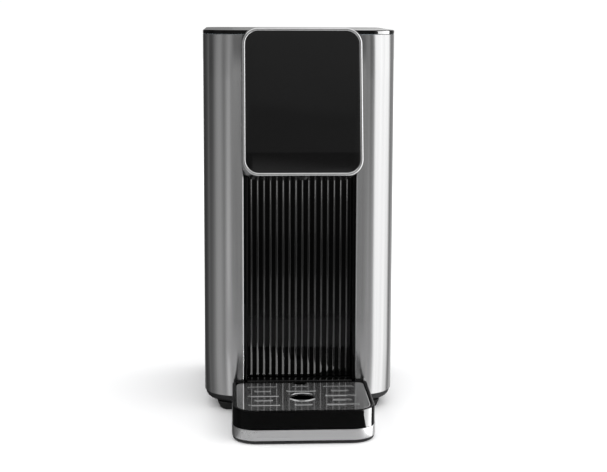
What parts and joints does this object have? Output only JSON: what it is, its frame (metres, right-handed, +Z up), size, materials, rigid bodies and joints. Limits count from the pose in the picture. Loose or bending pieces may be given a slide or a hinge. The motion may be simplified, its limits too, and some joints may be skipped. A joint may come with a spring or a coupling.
{
  "type": "countertop water dispenser",
  "caption": "Countertop hot-water dispenser with steel side panels, leaning glass control head, ribbed dispensing niche, slide-out drip tray and lift-off rear tank",
  "frame": {"origin": "centre of the footprint at the height the feet and tray rest on", "axes": "+X to the right seen from the front, front faces -Y, +Z up"},
  "size_m": [0.185, 0.2862, 0.3732],
  "materials": {
    "matte_black": "fine-grained satin black",
    "rubber_black": "matt moulded rubber",
    "brushed_steel": "vertical brushed grain, satin",
    "gloss_black": "high gloss black",
    "grey_plastic": "satin moulded",
    "chrome_band": "bright plated band",
    "black_glass": "black-backed touch glass, polished",
    "board_green": "solder mask",
    "seal_red": "silicone",
    "plated_steel": "zinc plated",
    "white_plastic": "satin moulded",
    "cast_aluminium": "as cast and machined",
    "hose_white": "translucent silicone hose",
    "silver_band": "satin brushed",
    "polished_steel": "polished, mirror-like with fine wear",
    "tank_clear": "smoky clear moulded plastic"
  },
  "bodies": {
    "housing": {"base_pan": "matte_black", "foot_front_left": "rubber_black", "foot_front_right": "rubber_black", "foot_rear_left": "rubber_black", "foot_rear_right": "rubber_black", "side_panel_left": "brushed_steel", "side_panel_right": "brushed_steel", "niche_panel": "gloss_black", "niche_sill": "matte_black", "front_skirt": "matte_black", "head_mount_plate": "grey_plastic", "head_band": "chrome_band", "control_glass": "black_glass", "head_carrier": "grey_plastic", "display_board": "board_green", "outlet_nozzle": "chrome_band", "top_cover": "gloss_black", "rear_bulkhead": "grey_plastic", "tank_plinth": "matte_black", "inlet_socket": "grey_plastic", "inlet_seal": "seal_red", "cord_gland": "rubber_black", "pump_mount": "rubber_black", "pump_motor": "plated_steel", "pump_head": "white_plastic", "flow_heater": "cast_aluminium", "heater_bracket": "plated_steel", "thermostat": "grey_plastic", "hose_tank_pump": "hose_white", "hose_pump_heater": "hose_white", "hose_heater_nozzle": "hose_white", "control_board": "board_green", "power_board": "board_green", "level_sensor": "grey_plastic"},
    "tray": {"tray_dish": "gloss_black", "tray_band": "silver_band", "tray_base": "matte_black"},
    "plate": {"drip_plate": "polished_steel"},
    "tank": {"tank_shell": "tank_clear", "tank_bridge": "gloss_black", "hinge_pin": "plated_steel", "valve_body": "grey_plastic", "valve_seal": "seal_red", "inlet_filter": "white_plastic", "valve_spring": "plated_steel"},
    "lid": {"tank_lid": "gloss_black"},
    "valve": {"valve_plunger": "white_plastic"}
  },
  "joints": [
    {"name": "tray_slide", "type": "slide", "parent": "housing", "child": "tray", "axis": [0, -1, 0], "range_m": [0, 0.12]},
    {"name": "plate_lift", "type": "slide", "parent": "tray", "child": "plate", "axis": [0, 0, 1], "range_m": [0, 0.05]},
    {"name": "tank_lift", "type": "slide", "parent": "housing", "child": "tank", "axis": [0, 0, 1], "range_m": [0, 0.345]},
    {"name": "tank_lid_hinge", "type": "hinge", "parent": "tank", "child": "lid", "pos_m": [0, 0.1287, 0.3689], "axis": [-1, 0, 0], "range_deg": [0, 90]},
    {"name": "valve_slide", "type": "slide", "parent": "tank", "child": "valve", "axis": [0, 0, 1], "range_m": [0, 0.004], "stiffness_N_per_m": 120, "springref_m": -0.003, "deforming": ["valve_spring"]}
  ]
}
